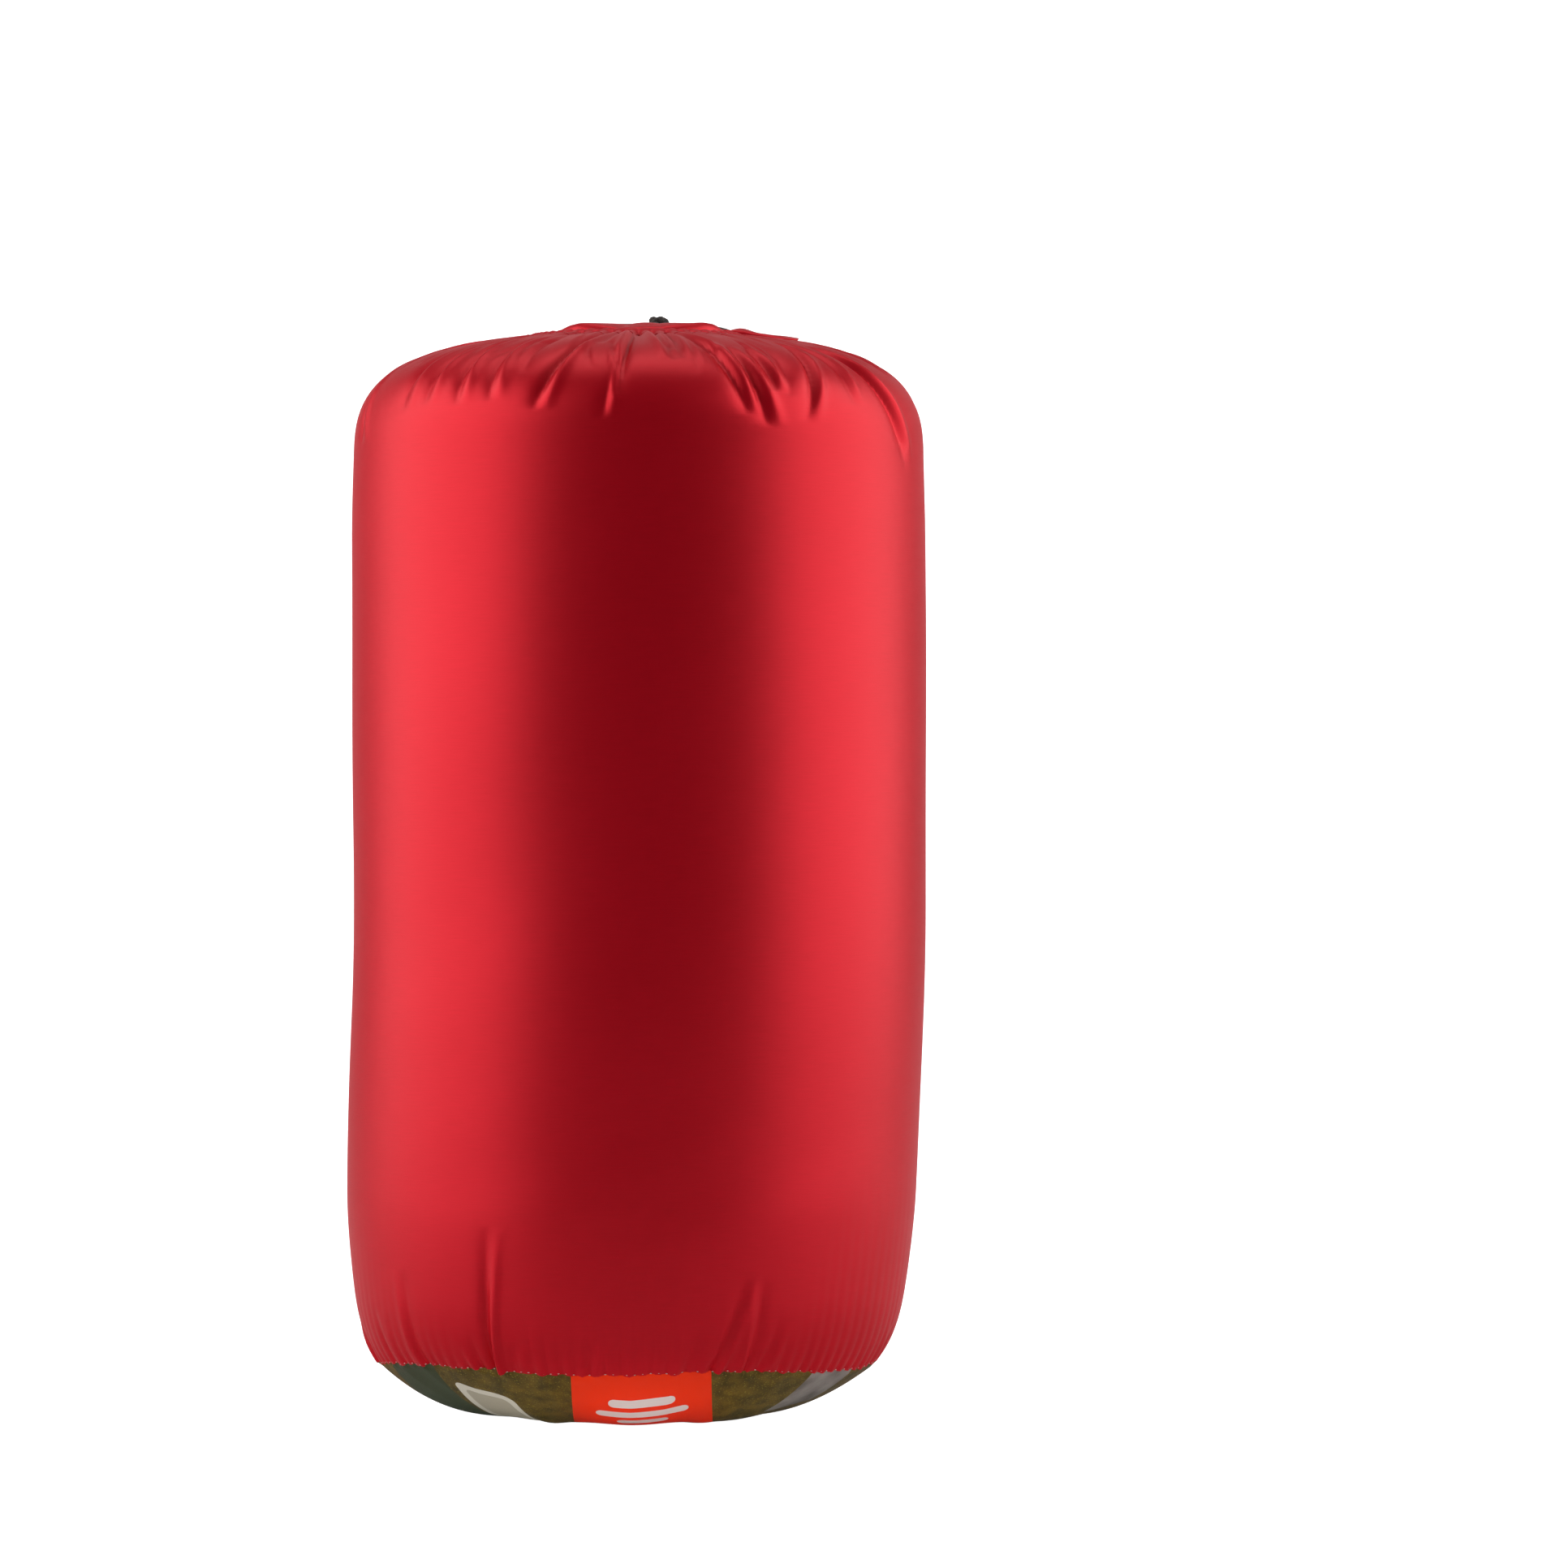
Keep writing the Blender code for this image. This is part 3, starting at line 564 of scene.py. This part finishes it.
def braided_tube(name, line, radius, closed=False, sides=20):
    """A tube whose surface is two sets of strands, crossing over and under around it."""
    ways = np.roll(line, -1, axis=0) - np.roll(line, 1, axis=0) if closed else np.gradient(line, axis=0)
    ways /= np.linalg.norm(ways, axis=1)[:, None]
    side = np.cross(ways[0], (0.3, 0.1, 1.0))
    sides_of = []
    for way in ways:
        side = side - way * np.dot(side, way)
        side /= np.linalg.norm(side)
        sides_of.append(side)
    sides_of = np.array(sides_of)
    others = np.cross(ways, sides_of)
    distance = np.concatenate([[0], np.cumsum(np.linalg.norm(np.diff(line, axis=0), axis=1))])
    around = np.linspace(0, 2 * math.pi, sides, endpoint=False)
    twist = distance[:, None] / (1.9 * radius)
    right = np.abs(np.sin(4 * around[None, :] + 2 * twist))
    left = np.abs(np.sin(4 * around[None, :] - 2 * twist))
    reach = radius * (0.90 + 0.12 * np.maximum(right, left) ** 2)
    offsets = sides_of[:, None] * np.cos(around)[None, :, None]
    offsets = offsets + others[:, None] * np.sin(around)[None, :, None]
    points = line[:, None] + offsets * reach[..., None]
    fabric = np.stack(np.broadcast_arrays(around[None, :] * radius, distance[:, None]), axis=-1) * MM
    if closed:
        points = np.concatenate([points, points[:1]])
        fabric = np.concatenate([fabric, fabric[:1]])
    mesh = grid_mesh(name, points, fabric)
    if closed:
        return mesh
    builder = bmesh.new()
    builder.from_mesh(mesh)
    ends = [edge for edge in builder.edges if edge.is_boundary]
    bmesh.ops.holes_fill(builder, edges=ends)
    builder.to_mesh(mesh)
    builder.free()
    return mesh


def stitches(name, lines, length, thickness, lift):
    """Short threads lying on the sack, one between each two points of lines of azimuths and distances."""
    builder = bmesh.new()
    for azimuths, alongs in lines:
        points = sack_points(azimuths, alongs, lift)
        for point, way in zip(points, np.diff(points, axis=0)):
            gap = np.linalg.norm(way)
            if gap > 4 * length:
                continue
            turned = Vector((0, 0, 1)).rotation_difference(Vector(way / gap)).to_matrix().to_4x4()
            matrix = Matrix.Translation(Vector(point + way / 2) * MM) @ turned
            matrix = matrix @ Matrix.Diagonal((thickness * MM, thickness * MM, length * MM / 2, 1))
            bmesh.ops.create_icosphere(builder, subdivisions=1, radius=1, matrix=matrix)
    mesh = bpy.data.meshes.new(name)
    builder.to_mesh(mesh)
    builder.free()
    mesh.shade_smooth()
    return mesh


# Stuff sack


def make_sack():
    """The tube and its hem, finest where the cloth is gathered and at the base seam."""
    shoulder_end, puckers_start = 92, SEAM_EDGE - 66
    along = np.concatenate([
        np.linspace(HEM_EDGE, 0, 14, endpoint=False),
        np.linspace(0, shoulder_end, 104, endpoint=False),
        np.linspace(shoulder_end, puckers_start, 78, endpoint=False),
        np.linspace(puckers_start, SEAM_EDGE, 76),
    ])
    azimuth = np.linspace(-180, 180, SACK_COLUMNS, endpoint=False)
    azimuths, alongs = np.meshgrid(azimuth, along)
    fabric = np.stack([np.radians(azimuths) * SACK_RADIUS, alongs], axis=-1) * MM
    mesh = grid_mesh("stuff_sack", sack_points(azimuths, alongs), fabric)
    return add("stuff_sack", mesh, sack_satin, replaces=["sack_tube"])


def make_sewing():
    """Stitches of the channel, of the tube's own seam down the back, and of the base seam."""
    channel = np.arange(0, 360, 1.9)
    channel = channel[mouth_edge_clear(channel)]
    down = np.arange(40, SEAM_EDGE - 4, 3.1)
    aside = np.degrees(BACK_SEAM_ROWS / outline_radius(down))
    around = np.arange(0, 360, 1.75)
    rows = (
        ("channel_stitches", [(channel, CHANNEL_SEAM)], 2.0, 0.22, 0.1, thread_red),
        ("back_seam_stitches", [(180 - aside, down), (180 + aside, down)], 2.2, 0.2, 0.1, thread_red),
        ("base_seam_stitches", [(around, SEAM_EDGE - 0.9)], 0.9, 0.2, 0.12, thread_pale),
    )
    return [add(name, stitches(name, *numbers), thread) for name, *numbers, thread in rows]


def mouth_edge_clear(azimuth):
    """True away from the buttonhole, where the cord comes out at the back."""
    return np.abs(turn_between(azimuth, 180)) > 9


def base_points(azimuth, radius):
    """The shallow base bowl: flat where it stands, softly faceted, scalloped at the seam like the tube."""
    reach = np.maximum(radius - FLAT_RADIUS, 0) / (SEAM_RADIUS - FLAT_RADIUS)
    angle = np.radians(azimuth)
    facets = 0.10 * np.sin(3 * angle + 0.4) + 0.07 * np.sin(5 * angle + 1.9)
    dents = 0.7 * bell(azimuth, -31, 3.2) + 0.5 * bell(azimuth, 32, 4) + 0.35 * np.sin(9 * angle + 1.1)
    height = SEAM_HEIGHT * reach ** (BASE_CURVE * (1 + facets))
    height = height - dents * 1.6 * reach * (1 - reach) * 4 + seam_wave(azimuth) * reach**4
    edge = smooth_step(0.97, 1.0, reach)
    rim = sack_points(azimuth, SEAM_EDGE - 0.3)
    own = settle(place(radius, azimuth, np.maximum(height, 0)))
    return own * (1 - edge[..., None]) + rim * edge[..., None]


def make_base():
    flat = np.linspace(3, FLAT_RADIUS, 10, endpoint=False)
    bowl = np.linspace(FLAT_RADIUS, SEAM_RADIUS, 64)
    azimuth = np.linspace(-180, 180, BASE_SPOKES, endpoint=False)
    azimuths, radius = np.meshgrid(azimuth, np.concatenate([flat, bowl]))
    points = base_points(azimuths, radius)
    fabric = points[..., :2] * MM
    mesh = grid_mesh("printed_base_panel", points[:, ::-1], fabric[:, ::-1], centre=(-LEAN, 0, 0))
    return add("printed_base_panel", mesh, base_print, replaces=["base_panel"])


def flap_points(azimuth, share):
    """Storm flap, from its middle (share 0) to its edge (share 1).

    It is level behind, with a soft crest in front. Its edge turns down inside the hem, except where one
    corner is folded out over the gathers on the right.
    """
    turn = turn_between(azimuth, TONGUE_AZIMUTH)
    out = np.exp(-((turn / 12) ** 4))
    edge = np.clip((share - FLAP_TURN_SHARE) / (1 - FLAP_TURN_SHARE), 0, 1) * math.pi / 2
    level_radius = share / FLAP_TURN_SHARE * FLAP_TURN_RADIUS
    tucked = np.where(share < FLAP_TURN_SHARE, level_radius, FLAP_TURN_RADIUS + 3.8 * np.sin(edge))
    radius = tucked * (1 - out) + share * (FLAP_RADIUS + TONGUE_LENGTH) * out
    flat = place(radius, azimuth, 0)
    x, y = flat[..., 0], flat[..., 1]
    crest = FLAP_CREST * (1 + 0.35 * bell(x, 31, 8)) * bell(y, -24, 11)
    crest = crest * smooth_step(-38, -22, x) * (1 - smooth_step(34, 46, x))
    angle = np.radians(azimuth)
    folds = np.abs(np.sin(4 * angle + 1.3 * np.sin(2 * angle) + radius / 26)) ** 0.8
    dimples = 0.55 * (1 - folds) * smooth_step(6, 22, radius) + 0.25 * np.sin(x / 5.1 + y / 8.3)
    tuck = 8.5 * (1 - np.cos(edge))
    level = FLAP_LEVEL - FLAP_SAG + crest - dimples * (1 - smooth_step(33, 38, radius) * out) - tuck
    over_hem = shoulder_height(radius) + 1.5 * bell(radius, HEM_RING, 4.5) + 0.9
    over_hem = over_hem - front_drop(azimuth, radius - SHOULDER_EDGE)
    pinch = 0.8 * bell(turn, 2.5 + 0.12 * (radius - 40), 1.5) * smooth_step(36, 46, radius)
    ripple = 0.4 * np.sin(turn / 2.4) * smooth_step(46, 60, radius)
    folded = smooth_step(31, 39, radius) * out
    height = level * (1 - folded) + (over_hem - pinch + ripple) * folded
    return np.stack([x, y, height], axis=-1)


def make_flap():
    azimuth = np.linspace(-180, 180, FLAP_SPOKES, endpoint=False)
    level = np.linspace(0.03, FLAP_TURN_SHARE, 34, endpoint=False)
    turned_down = np.linspace(FLAP_TURN_SHARE, 1.0, 20)
    azimuths, share = np.meshgrid(azimuth, np.concatenate([level, turned_down]))
    points = flap_points(azimuths, share)
    middle = (0, 0, float(points[0, :, 2].mean()))
    mesh = grid_mesh("storm_flap_cloth", points[:, ::-1], (points[..., :2] * MM)[:, ::-1], centre=middle)
    flap = add("storm_flap_cloth", mesh, sack_satin, replaces=["storm_flap"])
    modify(flap, "SOLIDIFY", thickness=0.5 * MM, offset=-1)
    return flap


# Drawcord


def make_cord_end(name, route, node):
    """One free end of the drawcord, and its line in metres."""
    line = smooth_route(route)
    end = add(name, braided_tube(name, line, CORD_RADIUS), cord_fibre, replaces=[node])
    return end, line * MM


def make_channel_cord():
    """The cord in its channel, from one side of the buttonhole round to the other."""
    end_x, end_y, _ = TAIL_RIGHT[0]
    turn = math.degrees(math.atan2(end_x, end_y)) + 0.6
    azimuth = np.linspace(180 + turn, 540 - turn, 520)
    line = place(HEM_RING, azimuth, HEM_HEIGHT - front_drop(azimuth, 0))
    mesh = braided_tube("drawcord_in_channel", line, CORD_RADIUS)
    add("drawcord_in_channel", mesh, cord_fibre, replaces=["drawcord_ring"])


def make_knot():
    """An overhand knot that binds both ends: a trefoil pulled tight."""
    turn = np.linspace(0, 2 * math.pi, 260, endpoint=False)
    loop = 2.1 + 0.95 * np.cos(3 * turn)
    line = np.stack([loop * np.cos(2 * turn), loop * np.sin(2 * turn), 1.35 * np.sin(3 * turn)], axis=1)
    mesh = braided_tube("cord_end_overhand_knot", line + KNOT_PLACE, KNOT_CORD_RADIUS, closed=True)
    return add("cord_end_overhand_knot", mesh, cord_fibre, replaces=["cord_end_knot"])


# Pieces whose CAD shape is right in the large: copies with rounded edges


def rounded_copy(name, node, material, body, width):
    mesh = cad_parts[node].data.copy()
    mesh.name = name
    obj = add(name, mesh, material, body, [node])
    modify(obj, "BEVEL", width=width * MM, segments=2, limit_method="ANGLE", angle_limit=math.radians(35))
    mesh.shade_smooth()
    mesh.set_sharp_from_angle(angle=math.radians(40))
    return obj


def recoloured(node, material):
    """A node of the model that is kept as it is, in a new material."""
    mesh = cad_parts[node].data
    mesh.materials.clear()
    mesh.materials.append(material)


def rumpled_copy(name, node, material):
    """The rolled quilt as real padding: all its plies wave together, so that they stay nested."""
    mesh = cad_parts[node].data.copy()
    mesh.name = name
    obj = add(name, mesh, material, replaces=[node])
    modify(obj, "SUBSURF", subdivision_type="SIMPLE", levels=1, render_levels=1)
    graph = bpy.context.evaluated_depsgraph_get()
    fine = bpy.data.meshes.new_from_object(obj.evaluated_get(graph))
    obj.modifiers.clear()
    obj.data = fine
    fine.name = name
    points = np.empty(len(fine.vertices) * 3, np.float32)
    fine.vertices.foreach_get("co", points)
    points = points.reshape(-1, 3) / MM
    angle = np.arctan2(points[:, 1], points[:, 0])
    radius = np.hypot(points[:, 0], points[:, 1])
    wave = 0.8 * np.sin(7 * angle + points[:, 2] / 31) + 0.5 * np.sin(3 * angle - points[:, 2] / 19)
    wave = wave * smooth_step(12, 60, radius)
    wave = wave * smooth_step(20, 60, points[:, 2]) * (1 - smooth_step(330, 365, points[:, 2]))
    points[:, 0] += wave * np.cos(angle)
    points[:, 1] += wave * np.sin(angle)
    points = settle(points) * MM
    fine.vertices.foreach_set("co", points.astype(np.float32).ravel())
    fine.shade_smooth()
    fine.set_sharp_from_angle(angle=math.radians(50))
    fine.update()
    return obj


def make_band(name, node, height):
    """Elastic webbing: ribs along it, a sewn overlap at one side."""
    azimuths = np.linspace(-180, 180, 360, endpoint=False)
    azimuth, across = np.meshgrid(azimuths, np.linspace(BAND_HALF_WIDTH, -BAND_HALF_WIDTH, 46))
    ribs = 0.18 * np.abs(np.sin(across * math.pi / 1.5))
    overlap = 0.9 * smooth_step(120, 121, azimuth) * (1 - smooth_step(134, 135, azimuth))
    radius = BAND_RADIUS + ribs + overlap
    points = settle(place(radius, azimuth, height + across))
    fabric = np.stack([np.radians(azimuth) * BAND_RADIUS, across], axis=-1) * MM
    band = add(name, grid_mesh(name, points, fabric), webbing, replaces=[node])
    modify(band, "SOLIDIFY", thickness=0.8 * MM, offset=-1)
    return band


# Stage and camera


def make_camera():
    camera = bpy.data.cameras.new("camera")
    camera.lens = 155
    camera.sensor_width = 36
    obj = bpy.data.objects.new("camera", camera)
    bpy.context.scene.collection.objects.link(obj)
    obj.location = (0.058, -2.7, 0.2513)
    obj.rotation_euler = (math.pi / 2, 0, 0)
    bpy.context.scene.camera = obj


def make_light(name, azimuth, distance, height, size, power, aim=(0, 0, 0.22)):
    light = bpy.data.lights.new(name, "AREA")
    light.shape = "RECTANGLE"
    light.size, light.size_y = size
    light.energy = power
    obj = bpy.data.objects.new(name, light)
    bpy.context.scene.collection.objects.link(obj)
    angle = math.radians(azimuth)
    obj.location = (distance * math.sin(angle), -distance * math.cos(angle), height)
    obj.rotation_euler = (Vector(aim) - obj.location).to_track_quat("-Z", "Y").to_euler()
    return light


def camera_only(tree, low, high):
    """A strength that is high in what the camera sees of the stage, and low in the light that it gives."""
    path = tree.nodes.new("ShaderNodeLightPath")
    mix = tree.nodes.new("ShaderNodeMapRange")
    mix.inputs["To Min"].default_value = low
    mix.inputs["To Max"].default_value = high
    tree.links.new(path.outputs["Is Camera Ray"], mix.inputs["Value"])
    return mix.outputs["Result"]


def make_backdrop():
    """A pale table that sweeps up behind into a backdrop."""
    near, far, sweep, half_width, top = -0.9, 2.2, 0.9, 4.5, 3.6
    turns = np.linspace(0, math.pi / 2, 24)
    line = [(near, 0.0), (far, 0.0)]
    line += [(far + sweep * math.sin(turn), sweep * (1 - math.cos(turn))) for turn in turns[1:]]
    line.append((far + sweep, top))
    rows = np.array([[(x, y, z) for x in (-half_width, half_width)] for y, z in line]) / MM
    mesh = grid_mesh("backdrop", rows[:, ::-1], rows[..., :2] * 0, closed=False)
    obj = bpy.data.objects.new("backdrop", mesh)
    bpy.context.scene.collection.objects.link(obj)
    pale = plain("backdrop", (0.52, 0.52, 0.52), (0.54, 0.54, 0.54), 0.9, 3.0, strength=0.0)
    shader = pale.node_tree.nodes["Principled BSDF"]
    shader.inputs["Specular IOR Level"].default_value = 0
    shader.inputs["Emission Color"].default_value = (1, 1, 1, 1)
    pale.node_tree.links.new(camera_only(pale.node_tree, 0.04, 1.0), shader.inputs["Emission Strength"])
    mesh.materials.append(pale)


def make_studio():
    """Pale surroundings, a tall soft box on each side, and small lights for the base and the mouth."""
    world = bpy.data.worlds.new("studio")
    bpy.context.scene.world = world
    world.use_nodes = True
    background = world.node_tree.nodes["Background"]
    background.inputs["Color"].default_value = (1, 1, 1, 1)
    world.node_tree.links.new(camera_only(world.node_tree, 0.035, 1.0), background.inputs["Strength"])
    strip = make_light("low_strip", 0, 0.9, 0.03, (0.5, 0.012), 0.056, aim=(0, 0, -0.006))
    strip.spread = math.radians(5)
    make_light("soft_box_left", -83, 1.5, 0.55, (2.3, 2.6), 43)
    make_light("soft_box_right", 90, 1.5, 0.55, (2.1, 2.6), 39)
    make_light("overhead", 180, 0.4, 1.9, (1.2, 0.9), 5)
    make_light("backdrop_light", 180, 1.2, 1.6, (3.0, 0.8), 30, aim=(0, 3.1, 0.5))
    bpy.context.scene.view_settings.view_transform = "Standard"


make_camera()

sack_satin = satin("sack_taffeta", (0.62, 0.0015, 0.012), (0.69, 0.003, 0.017), 0.39, 0.42)
thread_red = plain("thread_red", (0.42, 0.004, 0.012), (0.60, 0.01, 0.02), 0.55, 3000)
thread_pale = plain("thread_pale", (0.55, 0.30, 0.28), (0.80, 0.62, 0.60), 0.6, 3000)
base_print = printed_base()
cord_fibre = braid()
lock_plastic = plain("lock_plastic", (0.012, 0.012, 0.013), (0.024, 0.024, 0.025), 0.36, 900)
spring_steel = plain("spring_steel", (0.55, 0.55, 0.56), (0.68, 0.68, 0.70), 0.28, 1200, Metallic=1.0)
shell_cloth = woven("bag_shell", (0.46, 0.010, 0.020), (0.56, 0.016, 0.028), 0.55, 1500)
batting = plain(
    "batt_fibre", (0.74, 0.74, 0.72), (0.90, 0.90, 0.88), 0.95, 420, distance=0.0008, strength=0.8,
    Sheen_Weight=0.3,
)
liner_cloth = woven("bag_liner", (0.09, 0.09, 0.10), (0.14, 0.14, 0.15), 0.75, 1100, 0.00016)
zip_nylon = woven("zip_nylon", (0.014, 0.014, 0.015), (0.032, 0.032, 0.034), 0.5, 420, 0.0006)
zip_metal = plain("zip_metal", (0.30, 0.30, 0.31), (0.42, 0.42, 0.43), 0.32, 700, Metallic=1.0)
hooks = woven("hook_plastic", (0.012, 0.012, 0.012), (0.030, 0.030, 0.030), 0.55, 640, 0.0006)
loops = plain(
    "loop_pile", (0.012, 0.012, 0.012), (0.045, 0.045, 0.046), 0.95, 1800, distance=0.0008, strength=0.9,
    Sheen_Weight=0.6,
)
webbing = woven("elastic_webbing", (0.018, 0.018, 0.019), (0.045, 0.045, 0.047), 0.8, 900, 0.0003)
label = woven("label_cloth", (0.74, 0.74, 0.71), (0.84, 0.84, 0.81), 0.7, 1600)

left_end = make_cord_end("drawcord_left_end", TAIL_LEFT, "drawcord_tail_left")
right_end = make_cord_end("drawcord_right_end", TAIL_RIGHT, "drawcord_tail_right")
make_channel_cord()
knot = make_knot()
sack = make_sack()
sewing = make_sewing()
base = make_base()
flap = make_flap()

lock_barrel, lock_button = (
    rounded_copy(name, node, lock_plastic, body, 0.35)
    for name, node, body in (
        ("lock_barrel", "cord_lock_barrel", "cord_lock"), ("lock_button", "cord_lock_button", "lock_button"),
    )
)
rounded_copy("zip_slider_body", "zip_slider", zip_metal, "slider", 0.2)
rounded_copy("zip_pull", "zip_pull_tab", zip_metal, "pull", 0.2)
rounded_copy("loop_patch", "loop_tab", loops, "sack", 0.35)
rounded_copy("hook_patch", "hook_tab", hooks, "sack", 0.3)
rounded_copy("blank_care_label", "care_label", label, "sack", 0.15)
recoloured("cord_lock_spring", spring_steel)

quilt = [
    rumpled_copy("rolled_shell", "outer_shell", shell_cloth),
    rumpled_copy("rolled_batting", "insulation_batt", batting),
    rumpled_copy("rolled_liner", "liner", liner_cloth),
]
make_band("upper_roll_band", "roll_tie_upper", 310)
make_band("lower_roll_band", "roll_tie_lower", 120)
recoloured("zip_half_outer", zip_nylon)
recoloured("zip_half_inner", zip_nylon)

make_backdrop()
make_studio()
